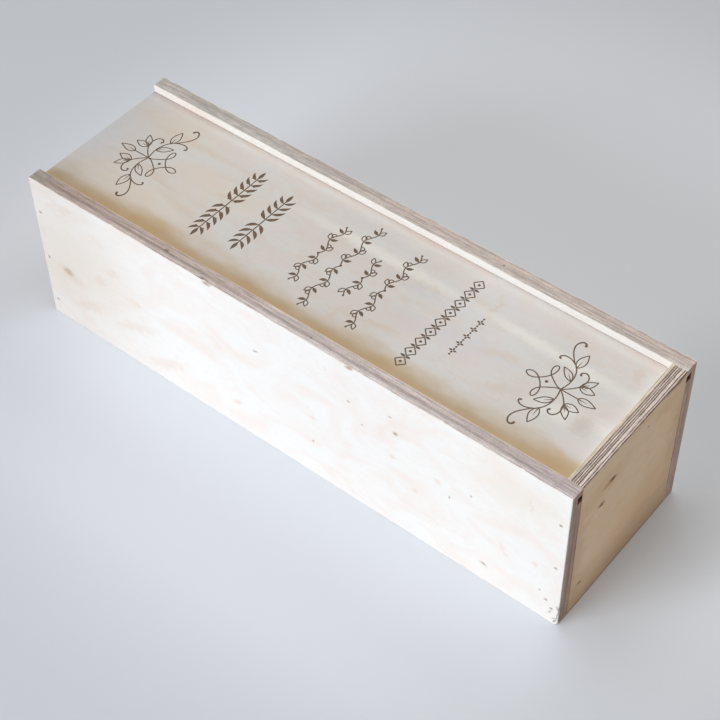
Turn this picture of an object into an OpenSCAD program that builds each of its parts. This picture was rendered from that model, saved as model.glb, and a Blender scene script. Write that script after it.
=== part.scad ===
// Single-bottle wine box: two full-length side boards, two end boards set
// between them, a glued-in bottom panel and a thin lid that slides out
// lengthways in grooves milled into the side boards.
//
// Frame: +X towards the tall, fixed end; the lid leaves at the -X end.
// The front is the -Y face, +Z is up, and the origin is the middle of the base.
// All sizes are in millimetres.

/* [Box] */
// Outer length, over the ends of the side boards
box_length = 362; // [200:1:600]
// Outer width, over both side boards
box_width = 110; // [80:1:220]
// Outer height of the side boards and of the tall end board
box_height = 106; // [60:1:220]

/* [Boards] */
// Thickness of the two side boards
side_board_t = 9; // [7:0.5:15]
// Thickness of the two end boards
end_board_t = 9; // [7:0.5:15]
// Thickness of the bottom panel
bottom_panel_t = 4; // [3:0.5:9]
// Thickness of the sliding lid
lid_t = 4; // [3:0.5:6]
// Chamfer that eases the long outer edges of the side boards
edge_ease = 0.4; // [0.2:0.1:1]

/* [Lid slide] */
// How far the lid's top face lies below the top of the side boards
lid_drop = 4.8; // [4:0.1:10]
// Depth of the groove milled into each side board
groove_depth = 4; // [3:0.1:5]
// Free height above the lid inside the groove
lid_top_gap = 0.4; // [0.2:0.1:1]
// Free width beside the lid at the bottom of each groove
lid_side_gap = 0.4; // [0.2:0.1:1]
// Free length between the closed lid and the tall end board
lid_end_gap = 0.3; // [0.2:0.1:1]
// Gap between the low end board and the lid that slides over it
low_end_gap = 0.2; // [0.1:0.1:1]

/* [Brads] */
// Number of brads down each corner joint
brad_count = 3; // [2:1:4]
// Height of the lowest brad above the base
brad_low_z = 12; // [8:1:20]
// Distance from the lid's underside down to the highest brad
brad_lid_distance = 15; // [8:1:20]
// Diameter of a brad's shank
brad_shank_d = 1.2; // [1:0.1:1.6]
// Diameter of a brad's head
brad_head_d = 2; // [1.8:0.1:2.6]
// Thickness of a brad's head
brad_head_t = 0.6; // [0.4:0.1:1]
// Length of a brad, with its head and its point
brad_length = 25; // [18:1:30]
// Length of a brad's point
brad_point = 1.6; // [1:0.1:2.5]
// How deep a brad's head is set below the face of the board
brad_set = 0.4; // [0.2:0.1:0.8]
// Radial room round a brad in its hole
brad_room = 0.02; // [0.01:0.01:0.05]

/* [Hidden] */

// Smoothness of round shapes
$fn = 32;

// A small overlap that lets a cutter pass through a face
past = 1;

// Half sizes of the box, and of the bay between its boards
half_l = box_length / 2;
half_w = box_width / 2;
bay_half_l = half_l - end_board_t;
bay_half_w = half_w - side_board_t;

// The lid rests on the floors of the grooves
lid_z = box_height - lid_drop - lid_t;
groove_top_z = lid_z + lid_t + lid_top_gap;
lid_half_w = bay_half_w + groove_depth - lid_side_gap;
lid_x1 = bay_half_l - lid_end_gap;

// The low end board stops just under the lid
low_end_h = lid_z - low_end_gap;

// The brads stand in the middle of the end boards' thickness
brad_x = half_l - end_board_t / 2;
brad_high_z = lid_z - brad_lid_distance;
brad_pitch = (brad_high_z - brad_low_z) / (brad_count - 1);

// A thin-edged point still has a tip of this share of the shank
brad_tip_share = 0.2;

// Colours of bare birch plywood and of plain steel
birch = [0.93, 0.87, 0.78];
birch_end = [0.88, 0.79, 0.66];
birch_lid = [0.90, 0.86, 0.79];
steel = [0.45, 0.45, 0.47];

// Section of the front side board, drawn as [y, z]: a groove opens inwards
// near the top, and the two outer edges are eased.
module side_board_section() {
    outer_y = -half_w;
    inner_y = -bay_half_w;
    groove_y = inner_y - groove_depth;
    polygon([
        [outer_y + edge_ease, 0],
        [inner_y, 0],
        [inner_y, lid_z],
        [groove_y, lid_z],
        [groove_y, groove_top_z],
        [inner_y, groove_top_z],
        [inner_y, box_height],
        [outer_y + edge_ease, box_height],
        [outer_y, box_height - edge_ease],
        [outer_y, edge_ease]
    ]);
}

// One brad, driven along +Y, with its head's top at the origin.
// Room widens it all round, which turns it into its own hole.
module brad(room = 0) {
    straight = brad_length - brad_point;
    rotate([-90, 0, 0]) {
        cylinder(h = brad_head_t + room, d = brad_head_d + 2 * room);
        cylinder(h = straight, d = brad_shank_d + 2 * room);
        translate([0, 0, straight])
            cylinder(
                h = brad_point + room,
                d1 = brad_shank_d + 2 * room,
                d2 = brad_shank_d * brad_tip_share + 2 * room
            );
    }
}

// The open mouth above a brad that is set below the face.
module brad_mouth() {
    translate([0, -brad_set - past, 0])
        rotate([-90, 0, 0])
            cylinder(h = brad_set + past + brad_room, d = brad_head_d + 2 * brad_room);
}

// Places its children at every brad of the front corner joint at x.
module at_front_brads(x) {
    for (i = [0 : brad_count - 1])
        translate([x, -half_w + brad_set, brad_low_z + i * brad_pitch])
            children();
}

// Brad holes of both front corner joints.
module front_brad_holes() {
    for (x = [-brad_x, brad_x])
        at_front_brads(x) {
            brad(brad_room);
            brad_mouth();
        }
}

// Brad holes of the whole box, mirrored from the front to the back.
module all_brad_holes() {
    front_brad_holes();
    mirror([0, 1, 0]) front_brad_holes();
}

module side_board() {
    difference() {
        translate([-half_l, 0, 0])
            rotate([90, 0, 90])
                linear_extrude(box_length) side_board_section();
        front_brad_holes();
    }
}

// A block from one corner to the other.
module block(from, to) {
    translate(from) cube(to - from);
}

module front_board() {
    color(birch) side_board();
}

module back_board() {
    color(birch) mirror([0, 1, 0]) side_board();
}

module tall_end_board() {
    color(birch_end)
        difference() {
            block([bay_half_l, -bay_half_w, 0], [half_l, bay_half_w, box_height]);
            all_brad_holes();
        }
}

module low_end_board() {
    color(birch_end)
        difference() {
            block([-half_l, -bay_half_w, 0], [-bay_half_l, bay_half_w, low_end_h]);
            all_brad_holes();
        }
}

module bottom_panel() {
    color(birch_end)
        block([-bay_half_l, -bay_half_w, 0], [bay_half_l, bay_half_w, bottom_panel_t]);
}

module sliding_lid() {
    color(birch_lid)
        block([-half_l, -lid_half_w, lid_z], [lid_x1, lid_half_w, lid_z + lid_t]);
}

module front_tall_end_brads() {
    color(steel) at_front_brads(brad_x) brad();
}

module front_low_end_brads() {
    color(steel) at_front_brads(-brad_x) brad();
}

module back_tall_end_brads() {
    color(steel) mirror([0, 1, 0]) at_front_brads(brad_x) brad();
}

module back_low_end_brads() {
    color(steel) mirror([0, 1, 0]) at_front_brads(-brad_x) brad();
}

front_board();
back_board();
tall_end_board();
low_end_board();
bottom_panel();
sliding_lid();
front_tall_end_brads();
front_low_end_brads();
back_tall_end_brads();
back_low_end_brads();
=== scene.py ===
# %% [markdown]
# # A wooden wine box with a sliding lid
#
# This lesson dresses a box of birch plywood that holds one bottle. The solid model of the
# box is already made and packed, so every size here comes from it, and nothing is fitted
# by eye. We start by loading it: each piece arrives as a mesh in metres, at its own place,
# with the box's length along X, its front facing -Y and its base on Z = 0.

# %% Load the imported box
import math
import bpy
import numpy as np
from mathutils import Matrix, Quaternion, Vector
from mathutils.geometry import delaunay_2d_cdt


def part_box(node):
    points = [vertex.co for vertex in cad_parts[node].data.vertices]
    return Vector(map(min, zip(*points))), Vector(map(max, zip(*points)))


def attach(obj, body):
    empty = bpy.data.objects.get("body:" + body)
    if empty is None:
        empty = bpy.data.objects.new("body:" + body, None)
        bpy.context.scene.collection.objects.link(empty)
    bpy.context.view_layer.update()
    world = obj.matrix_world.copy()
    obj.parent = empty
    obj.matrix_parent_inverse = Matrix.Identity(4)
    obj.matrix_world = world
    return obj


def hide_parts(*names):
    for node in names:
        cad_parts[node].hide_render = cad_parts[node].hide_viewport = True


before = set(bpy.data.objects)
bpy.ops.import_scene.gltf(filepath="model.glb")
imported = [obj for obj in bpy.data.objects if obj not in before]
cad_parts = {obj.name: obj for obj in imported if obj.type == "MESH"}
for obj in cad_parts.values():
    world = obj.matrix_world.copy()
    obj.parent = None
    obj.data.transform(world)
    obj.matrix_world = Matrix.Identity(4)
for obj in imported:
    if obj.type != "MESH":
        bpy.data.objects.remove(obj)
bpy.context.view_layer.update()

print("pieces:", ", ".join(sorted(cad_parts)))

# %% [markdown]
# ## The box's own measures
#
# Woodworkers think in millimetres, so all the shapes are worked out in millimetres and
# only turned into metres when a mesh is made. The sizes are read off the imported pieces:
# the side boards give the outside, the lid gives the height of the grooves.

# %% Measures in millimetres
MM = 0.001


def span(node):
    """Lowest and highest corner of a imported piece, in millimetres."""
    low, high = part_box(node)
    return np.array(low) / MM, np.array(high) / MM


side_low, side_high = span("front_board")
tall_low, tall_high = span("tall_end_board")
low_end_low, low_end_high = span("low_end_board")
lid_low, lid_high = span("sliding_lid")
bottom_low, bottom_high = span("bottom_panel")

HALF_LENGTH = side_high[0]
OUTER_Y = -side_low[1]
INNER_Y = -side_high[1]
HEIGHT = side_high[2]
BOARD = OUTER_Y - INNER_Y
GROOVE_FLOOR = lid_low[2]
GROOVE_ROOM = 0.4
GROOVE_ROOF = lid_high[2] + GROOVE_ROOM
GROOVE_Y = lid_high[1] + GROOVE_ROOM
print(f"outside {2 * HALF_LENGTH:.0f} x {2 * OUTER_Y:.0f} x {HEIGHT:.0f} mm, boards {BOARD:.0f} mm")
print(f"grooves from z {GROOVE_FLOOR:.1f} to {GROOVE_ROOF:.1f}, cut out to y {GROOVE_Y:.1f}")

# %% [markdown]
# ## The camera
#
# The box is seen from its front right corner and from well above, with a longish lens, so
# its long edges run almost parallel. The camera leans a little over a degree. We aim it
# at a point on the lid and then turn it about its own line of sight.

# %% Camera
CAMERA_PLACE = Vector((412.55, -486.32, 742.65)) * MM
CAMERA_AIM = Vector((45.88, -44.49, 101.2)) * MM
CAMERA_LEAN = math.radians(-1.254)
CAMERA_LENS = 85.73

camera = bpy.data.objects.new("camera", bpy.data.cameras.new("camera"))
bpy.context.scene.collection.objects.link(camera)
camera.data.lens = CAMERA_LENS
camera.data.sensor_width = 36.0
camera.data.clip_start = 0.05
camera.data.clip_end = 50.0
camera.location = CAMERA_PLACE
camera.rotation_mode = "QUATERNION"
line_of_sight = CAMERA_AIM - CAMERA_PLACE
upright = line_of_sight.to_track_quat("-Z", "Y")
camera.rotation_quaternion = upright @ Quaternion((0.0, 0.0, 1.0), CAMERA_LEAN)
bpy.context.scene.camera = camera
print(f"camera {line_of_sight.length:.2f} m from the lid, lens {CAMERA_LENS} mm")

# %% [markdown]
# ## Light
#
# The box stands near a window, in a bright room. The window is large and low, in front
# and a little to the left: it lights the front face fully and only skims the lid, in the
# cool colour of daylight. The white ceiling is a much softer and slightly warmer light.
# It reaches the lid and the floor but hardly the right end, which stays in shade and has
# only a pale wall to brighten it.

# %% Window, ceiling and room light
ROOM_LIGHT = 0.205
WARM_WHITE = (1.0, 0.975, 0.94)
DAYLIGHT = (0.90, 0.97, 1.06)


def lamp(name, azimuth, height, distance, size, power, colour):
    """A flat lamp that looks at the box. Azimuth 0 is in front, 90 at the right; both
    angles are in degrees, and distance and size in metres."""
    light = bpy.data.objects.new(name, bpy.data.lights.new(name, "AREA"))
    bpy.context.scene.collection.objects.link(light)
    light.data.shape = "RECTANGLE"
    light.data.size, light.data.size_y = size
    light.data.energy = power
    light.data.color = colour
    turn, rise = math.radians(azimuth), math.radians(height)
    flat = math.cos(rise) * distance
    light.location = (math.sin(turn) * flat, -math.cos(turn) * flat, math.sin(rise) * distance)
    light.rotation_euler = (-light.location).to_track_quat("-Z", "Y").to_euler()
    print(name, "at", [round(c, 2) for c in light.location], "m,", power, "W")


lamp("window", -19.0, 18.0, 1.9, size=(1.1, 0.95), power=26.0, colour=DAYLIGHT)
lamp("ceiling", 180.0, 78.0, 1.6, size=(1.6, 1.6), power=15.0, colour=WARM_WHITE)
lamp("pale_wall", 80.0, 7.0, 1.5, size=(0.9, 0.35), power=0.5, colour=WARM_WHITE)

world = bpy.data.worlds.new("room")
world.use_nodes = True
bpy.context.scene.world = world
room = world.node_tree.nodes["Background"]
room.inputs["Color"].default_value = (*WARM_WHITE, 1.0)
room.inputs["Strength"].default_value = ROOM_LIGHT
bpy.context.scene.view_settings.view_transform = "Standard"

# %% [markdown]
# ## Helpers for materials
#
# All finishes are built from shader nodes. Writing them by hand is long, so one small
# helper adds a node, sets its options and fills its inputs, with a number, a colour or
# the output of another node. The others name the few sums and mixes that are needed.

# %% Node helpers
def fill(tree, node, inputs):
    """Links or sets inputs, by name, or by number as i0, i1, ... where names repeat."""
    for key, value in inputs.items():
        numbered = key[0] == "i" and key[1:].isdigit()
        socket = node.inputs[int(key[1:])] if numbered else node.inputs[key]
        if isinstance(value, bpy.types.NodeSocket):
            tree.links.new(value, socket)
        else:
            socket.default_value = value


def put(tree, kind, options=None, **inputs):
    """Adds one node, sets its options and fills its inputs."""
    made = tree.nodes.new("ShaderNode" + kind)
    for key, value in (options or {}).items():
        setattr(made, key, value)
    fill(tree, made, inputs)
    return made


def calc(tree, operation, first, second=0.0, third=0.0):
    """One sum on numbers, such as ADD, MULTIPLY or MAXIMUM."""
    made = put(tree, "Math", {"operation": operation}, i0=first, i1=second, i2=third)
    return made.outputs[0]


def vector_calc(tree, operation, first, second=(0.0, 0.0, 0.0)):
    """One sum on vectors. LENGTH and DISTANCE give a number, the others a vector."""
    made = put(tree, "VectorMath", {"operation": operation}, i0=first, i1=second)
    return made.outputs["Value" if operation in ("LENGTH", "DISTANCE") else "Vector"]


def ease_range(tree, value, low, high, to_low=0.0, to_high=1.0):
    """Turns low..high into to_low..to_high along a soft S curve."""
    names = {"i0": value, "i1": low, "i2": high, "i3": to_low, "i4": to_high}
    return put(tree, "MapRange", {"interpolation_type": "SMOOTHSTEP"}, **names).outputs[0]


def tint(tree, share, under, over, blend="MIX"):
    """Lays one colour over another, by a share from 0 to 1."""
    options = {"data_type": "RGBA", "blend_type": blend}
    return put(tree, "Mix", options, i0=share, i6=under, i7=over).outputs[2]


def rgb(red, green, blue):
    """A colour from the 0 to 255 values of a paint chart, as the shader wants it."""
    chart = np.array([red, green, blue]) / 255.0
    linear = np.where(chart > 0.04045, ((chart + 0.055) / 1.055) ** 2.4, chart / 12.92)
    return (*[float(c) for c in linear], 1.0)


print("node helpers ready")

# %% [markdown]
# ## Wood has a direction
#
# A pattern could be laid on with UV maps, but wood only needs to know which way its grain
# runs. So each finish reads the object's own coordinates, turned so that X always runs
# along the grain: a cloud of noise that is stretched along X then looks like fibres. Two
# more helpers take whole lists. One lays cloud after cloud over a colour, and the other
# makes the colour change along the board: mostly a painted fall-off of the window's
# light, and a few changes of tone.

# %% Wood space, clouds and filters
X, Y, Z = 0, 1, 2


def wood_space(tree, grain, across):
    """Object coordinates in mm: X along the grain, Y across it, Z into the board."""
    into = ({0, 1, 2} - {grain, across}).pop()
    place = put(tree, "TexCoord").outputs["Object"]
    axes = put(tree, "SeparateXYZ", i0=place).outputs
    turned = put(tree, "CombineXYZ", i0=axes[grain], i1=axes[across], i2=axes[into])
    scaled = put(tree, "VectorMath", {"operation": "SCALE"}, i0=turned.outputs[0], Scale=1 / MM)
    return scaled.outputs[0]


def new_finish(name, grain=X, across=Y):
    """A new material, with its tree, its shader and its wood space."""
    material = bpy.data.materials.new(name)
    material.use_nodes = True
    tree = material.node_tree
    return material, tree, tree.nodes["Principled BSDF"], wood_space(tree, grain, across)


def cloud(tree, place, along, across, detail=2.0, rough=0.5, bend=0.0, shift=0.0):
    """Noise with patches of about `along` mm by `across` mm, from 0 to 1."""
    moved = vector_calc(tree, "MULTIPLY", place, (1 / along, 1 / across, 1 / across))
    if shift:
        moved = vector_calc(tree, "ADD", moved, (shift,) * 3)
    values = {"Vector": moved, "Scale": 1.0, "Detail": detail}
    return put(tree, "TexNoise", None, **values, Roughness=rough, Distortion=bend).outputs[0]


def darker(tree, colour, factor):
    """Multiplies a colour by one number."""
    grey = put(tree, "CombineColor", i0=factor, i1=factor, i2=factor).outputs[0]
    return tint(tree, 1.0, colour, grey, "MULTIPLY")


def weather(tree, place, colour, layers):
    """Lays clouds over a colour. Each layer gives the cloud's numbers, then (low, high,
    share at low, share at high), then its colour, or None if it only makes the wood
    lighter or darker by that share."""
    for *numbers, limits, laid_colour in layers:
        share = ease_range(tree, cloud(tree, place, *numbers), *limits)
        colour = tint(tree, share, colour, laid_colour) if laid_colour else darker(tree, colour, share)
    return colour


def filtered(tree, along, colour, ends):
    """Multiplies a colour by filters that grow along the wood: (from, to, filter)."""
    for start, end, through in ends:
        share = ease_range(tree, along, start, end)
        colour = tint(tree, share, colour, (*through, 1.0), "MULTIPLY")
    return colour


print("wood space, clouds and filters ready")

# %% [markdown]
# ## Birch veneer
#
# The faces are rotary-cut birch: almost white, with broad, wavy pink and ochre figure,
# very fine fibres, and small brown flecks. A flat picture of wood would repeat and
# carry its own light, so the pattern is mixed from noise that is stretched along the grain:
# each layer answers one thing that is seen on the real veneer. Marks with a place of
# their own, such as a knot, are soft ellipses with ragged rims, laid on one by one.

# %% Birch veneer material
SPOT_EDGES = (1.15, 0.15)
FLAKE = rgb(196, 156, 128)
# Clouds: along, across, detail, roughness, bend, shift
RINGS = (70, 3.4, 3.0, 0.6, 0.9, 3.0)
HAIRS = (6.0, 0.3, 3.0, 0.65)
PITH = (3.4, 0.9, 1.0, 0.5, 0.3, 11.0)
PITH_ZONE = (50, 20, 1.0, 0.5, 0.5, 5.0)
WAVE = (30, 12, 3.0)
WAVE_HEIGHT = 20.0
# Between which values of its cloud a pattern fades in, and how much it then does
FIGURE_RANGE, WARMTH_RANGE = (0.38, 0.72), (0.50, 0.80)
RING_RANGE, RING_SHADE = (0.35, 0.7), 0.018
HAIR_RANGE, HAIR_LIGHT, HAIR_SHADE = (0.3, 0.72), 0.010, 0.028
PITH_RANGE, ZONE_RANGE, PITH_SHARE = (0.69, 0.8), (0.48, 0.65), 0.3
FLAMES, FLAME_WIDTH, FLAME_SHARE = 7.0, 0.11, 0.35
FACE_RELIEF = {"Strength": 0.3, "Distance": 0.0001}
FACE_GLOSS = (0.5, 0.62)


def spots(tree, place, marks):
    """Soft ellipses at (along, across, half length, half width, degrees), as one mask."""
    mask = None
    for along, across, half_length, half_width, degrees in marks:
        turn = (0.0, 0.0, math.radians(degrees))
        size = (half_length, half_width, 1.0)
        values = {"i0": place, "i1": (along, across, 0.0), "i2": turn, "i3": size}
        local = put(tree, "Mapping", {"vector_type": "TEXTURE"}, **values).outputs[0]
        one = ease_range(tree, vector_calc(tree, "LENGTH", local), *SPOT_EDGES)
        mask = one if mask is None else calc(tree, "MAXIMUM", mask, one)
    return mask


def birch(
    name, grain, across, tones, marks=(), bands=(), ends=(), ochre=0.5, fibre=1.0, flow=2.0, seed=0.0
):
    """Veneer whose grain runs along one axis. `tones` are its pale, pink and ochre wood;
    `marks` lists (colour, strength, raggedness, spots), `bands` lists (from, to, colour,
    strength) for a tint that grows across the grain, which here is painted shade, `ends`
    lists (from, to, filter) for a colour that changes along the grain, mostly painted
    fall-off of light, and `flow` draws the figure out along the grain."""
    material, tree, shader, place = new_finish(name, grain, across)
    pattern = vector_calc(tree, "ADD", place, (37.0 * seed, 19.0 * seed, 0.0))
    pale, pink, tan = tones
    # Broad, soft figure in two tones
    figure = (38 * flow, 22 / flow**0.5, 4.0, 0.6, 1.2, 0.0, FIGURE_RANGE, pink)
    warmth = (30 * flow, 16 / flow**0.5, 4.0, 0.6, 1.6, 7.0, (*WARMTH_RANGE, 0.0, ochre), tan)
    colour = weather(tree, pattern, pale, [figure, warmth])
    # Flames: a cloud that is folded to and fro leaves thin lines, as growth rings do
    flame = cloud(tree, pattern, 44 * flow, 19 / flow**0.3, 2.0, 0.45, 1.5, 13.0)
    flame = calc(tree, "PINGPONG", calc(tree, "MULTIPLY", flame, FLAMES), 0.5)
    lines = ease_range(tree, flame, FLAME_WIDTH, 0.0, 0.0, FLAME_SHARE * ochre)
    colour = tint(tree, lines, colour, tan)
    # Fine rings and fibres, lighter and darker
    rings = cloud(tree, pattern, *RINGS)
    shade = ease_range(tree, rings, *RING_RANGE, 1.0, 1.0 - RING_SHADE * fibre)
    colour = darker(tree, colour, shade)
    hairs = cloud(tree, pattern, *HAIRS)
    light, dark = 1.0 + HAIR_LIGHT * fibre, 1.0 - HAIR_SHADE * fibre
    colour = darker(tree, colour, ease_range(tree, hairs, *HAIR_RANGE, light, dark))
    # Small brown flecks, which keep together in zones
    zone = ease_range(tree, cloud(tree, pattern, *PITH_ZONE), *ZONE_RANGE)
    pith = ease_range(tree, cloud(tree, pattern, *PITH), *PITH_RANGE)
    pith = calc(tree, "MULTIPLY", pith, zone)
    colour = tint(tree, calc(tree, "MULTIPLY", pith, PITH_SHARE), colour, FLAKE)

    # Marks, with rims that noise has bent
    flat = vector_calc(tree, "MULTIPLY", place, (1.0, 1.0, 0.0))
    for laid_colour, strength, ragged, places in marks:
        wobble = put(tree, "TexNoise", None, Vector=pattern, Scale=1.4 / (1.0 + ragged), Detail=4.0)
        bent = vector_calc(tree, "SUBTRACT", wobble.outputs[1], (0.5, 0.5, 0.5))
        bent = vector_calc(tree, "MULTIPLY", bent, (3.0 * ragged, 1.5 * ragged, 0.0))
        mask = spots(tree, vector_calc(tree, "ADD", flat, bent), places)
        colour = tint(tree, calc(tree, "MULTIPLY", mask, strength), colour, laid_colour)
    # Bands across the grain, with a waving rim, are painted shade; filters along it
    # are mostly painted fall-off of light
    axes = put(tree, "SeparateXYZ", i0=place).outputs
    wave = calc(tree, "SUBTRACT", cloud(tree, pattern, *WAVE), 0.5)
    side = calc(tree, "ADD", axes[Y], calc(tree, "MULTIPLY", wave, WAVE_HEIGHT))
    for start, end, laid_colour, strength in bands:
        colour = tint(tree, ease_range(tree, side, start, end, 0.0, strength), colour, laid_colour)
    colour = filtered(tree, axes[X], colour, ends)

    height = calc(tree, "ADD", calc(tree, "MULTIPLY", hairs, 0.7), calc(tree, "MULTIPLY", rings, 0.3))
    height = calc(tree, "SUBTRACT", height, pith)
    bump = put(tree, "Bump", None, **FACE_RELIEF, Height=height).outputs[0]
    gloss = ease_range(tree, hairs, 0.3, 0.7, *FACE_GLOSS)
    fill(tree, shader, {"Base Color": colour, "Roughness": gloss, "Normal": bump, "IOR": 1.4})
    shader.inputs["Specular IOR Level"].default_value = 0.4
    return material


print("birch veneer ready")

# %% [markdown]
# ## Marks of the front
#
# No two boards are alike, and noise can't put a mark where it belongs. So each mark is
# listed, with its place in millimetres from the middle of the base, its half length, its
# half width and its turn in degrees. The front has a knot near its left end, brown pins
# and small splinters, tan and hazy patches round them, and a frayed right arris.

# %% Marks of the front
FRONT_KNOT = [(-162, 43.7, 5.2, 3.6, -8)]
FRONT_BROWN = [
    (76.6, 75.8, 1.8, 1.9, 20), (-48.5, 105, 4, 1.8, 8), (47, 105.2, 3.2, 1.6, 8),
    (134, 14, 2.8, 1.1, -12), (172.5, 16.8, 1.6, 1.3, 0), (168.6, 21.6, 0.9, 0.8, 0),
    (175.8, 8.6, 2.4, 0.7, 55), (178.6, 5, 1.8, 0.6, 35), (179.6, 15, 0.5, 2.4, 0),
    (124.2, 63, 1, 1, 0), (110.9, 51.5, 0.9, 1.4, 0), (55.2, 67, 1.1, 0.9, 0),
    (73, 86.4, 1.3, 0.8, 15), (46, 79, 1, 0.9, 0), (20.8, 28, 1.3, 0.9, 20),
    (-17, 74, 2.6, 1, 16),
]
FRONT_FRAY = [(180.5, 12, 9, 0.45, 86), (179.9, 5, 4.6, 0.4, 78), (178.9, 3, 2.6, 0.35, 66)]
FRONT_TAN = [
    (20.8, 47.5, 5, 1.8, 8), (-34.5, 20.5, 6, 2, 24), (164.4, 40, 2.4, 2.2, 0),
    (144, 38, 1.4, 4.6, 14), (147, 33, 2.6, 1.3, -30), (103.6, 58.5, 2.6, 2.6, 0),
    (74.4, 56, 3, 1.8, 0), (89.4, 39.7, 2, 1.8, 0), (30.9, 93.7, 1.8, 1.2, 0),
    (159, 83, 1.1, 8, 4),
]
FRONT_HAZE = [
    (-155.6, 39.8, 8, 5, -20), (-154.4, 95, 7, 4, 30), (-123, 66, 8, 4.4, 20),
    (-134, 54, 6, 5, 40), (-107, 52.5, 7, 4.2, 20), (-162.2, 42, 11, 8.5, 0),
    (-146, 24, 20, 5, 20), (-112, 30, 24, 5, 24), (-86, 16, 24, 5, 30),
]
FRONT_CREAM = [(-150, 55, 50, 40, 20), (150, 84, 34, 16, 0)]
FRONT_MARKS = [
    (rgb(238, 226, 210), 0.5, 10.0, FRONT_CREAM),
    (rgb(234, 212, 194), 0.42, 6.0, FRONT_HAZE),
    (rgb(233, 208, 190), 0.5, 2.6, FRONT_TAN),
    (rgb(176, 144, 120), 0.8, 1.0, FRONT_BROWN),
    (rgb(190, 158, 126), 0.6, 1.2, FRONT_KNOT),
    (rgb(126, 120, 110), 0.9, 0.7, FRONT_FRAY),
]
# Painted fall-off of the window's light: the front is darker towards its left end and paler towards
# its right.
FRONT_LIGHT_FALLOFF = [(-60.0, -181.0, (0.83, 0.81, 0.79)), (40.0, 150.0, (1.05, 1.05, 1.045))]
print(sum(len(places) for *_, places in FRONT_MARKS), "marks on the front")

# %% [markdown]
# ## Marks of the tall end
#
# This end is warmer and browner. Two brown scars lie in halos near its upper left, and
# the outer veneer has torn under the upper arris, where the dark patch is torn wood and
# painted shade in the tear. It is browner along both sides, and painted shade darkens it
# towards its foot, with a dark line where it stands on the table.

# %% Marks of the tall end
END_HALO = [(-20.5, 84, 8.5, 2.8, -6), (-26, 73, 5, 2.2, -8)]
END_BROWN = [
    (-17.8, 84.7, 4.2, 1.7, -6), (-25.3, 71.8, 3.3, 1.4, -8), (-37.7, 19.3, 2.4, 1.5, 0),
    (12, 96, 1.4, 0.6, 0),
]
END_OCHRE = [
    (24, 34, 30, 24, 40), (-22, 86, 26, 12, 10), (30, 96, 16, 9, 0), (8, 103, 17, 3.4, 0),
]
# Painted shade: a dark line along the foot, where the end stands on the table
END_FOOT_SHADE_LINE = [(0, -0.5, 300, 3.2, 0)]
# Torn veneer under the upper arris, its darkness partly painted shade in the tear
END_TEAR_AND_SHADE = [(36, 105.6, 15, 2.3, 0), (39, 105.8, 9, 3.4, 0)]
END_SIDES = [(-50, 46, 16, 62, 0), (50, 60, 18, 66, 0)]
END_MARKS = [
    (rgb(212, 174, 132), 0.6, 6.0, END_SIDES),
    (rgb(224, 182, 128), 0.4, 8.0, END_OCHRE),
    (rgb(198, 150, 104), 0.6, 1.6, END_HALO),
    (rgb(110, 58, 18), 1.0, 0.9, END_BROWN),
    (rgb(140, 110, 84), 1.0, 1.0, END_TEAR_AND_SHADE),
    (rgb(150, 122, 98), 0.9, 0.6, END_FOOT_SHADE_LINE),
]
# Painted shade: the face grows darker towards its foot
END_FOOT_SHADE_BANDS = [(38.0, -8.0, rgb(176, 142, 108), 0.72)]
print(sum(len(places) for *_, places in END_MARKS), "marks on the tall end")

# %% [markdown]
# ## Marks of the lid
#
# The lid's figure is broad: cream, pink and grey streaks run along its grain, with tan
# flames between them, and its left third is a warmer wood. A long pale streak along
# y = 20 mm is a painted sheen. An ochre band and brown patches along the front lip, a
# pinkish band under the back lip, and two greyer patches are painted shade. The left end
# is painted darker and the right end paler, as the window's light falls off; such a
# change, with a few steps of tone, is a filter that grows along the board.

# %% Marks of the lid
LID_PINK = [(124, 36, 56, 8, 0), (30, -14, 46, 10, 8), (-20, 6, 30, 8, 0)]
# The two long streaks along y = 20 mm are a painted sheen; the third is a cream patch
LID_SHEEN_AND_CREAM = [(8, 21.5, 74, 4.6, 0), (118, 19.5, 66, 4.8, -2), (152, -10, 30, 8, 10)]
LID_GREY = [(-5, 34, 48, 7, 0), (70, -4, 50, 9, 8), (38, 12, 40, 4, 0)]
LID_WARM = [(-150, 30, 52, 14, 0), (-140, -24, 70, 15, 0), (-92, 6, 40, 16, 0)]
LID_TAN = [
    (-122, 26, 40, 3, 1), (-126, -8, 22, 4, -14), (-104, -17, 26, 4, -10), (-86, 4, 14, 2.4, 16),
    (16, -26, 3.4, 9, -20), (78, 28, 2.6, 16, 0), (112, -17, 16, 4, 24), (99, 2, 13, 4, 20),
    (162, 32, 3, 11, 12), (30, -22, 30, 2, 12),
]
# Painted shade along the front lip, where its shadow falls on the lid
LID_LIP_SHADE_MARKS = [(100, -41.5, 30, 5, 0), (174, -41, 24, 9, 0)]
# Painted shade: under the back lip at the left end, and a patch near the right spray
LID_SHADED = [(-152, 47, 60, 6.5, 0), (157, -11, 9, 9, 0)]
LID_MARKS = [
    (rgb(228, 212, 190), 0.42, 9.0, LID_WARM),
    (rgb(222, 208, 202), 0.5, 9.0, LID_PINK),
    (rgb(213, 209, 209), 0.6, 9.0, LID_GREY),
    (rgb(216, 196, 176), 0.42, 5.0, LID_TAN),
    (rgb(240, 238, 229), 0.62, 4.0, LID_SHEEN_AND_CREAM),
    (rgb(176, 146, 108), 0.5, 4.0, LID_LIP_SHADE_MARKS),
    (rgb(190, 178, 166), 0.55, 2.0, LID_SHADED),
]
# Painted shade and warm reflected light: a broad ochre band along the front lip, and a narrow band
# under the back lip
LID_LIP_SHADE_BANDS = [(-25.0, -43.0, rgb(204, 177, 139), 1.0), (41.0, 47.0, rgb(222, 204, 194), 0.6)]
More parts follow.
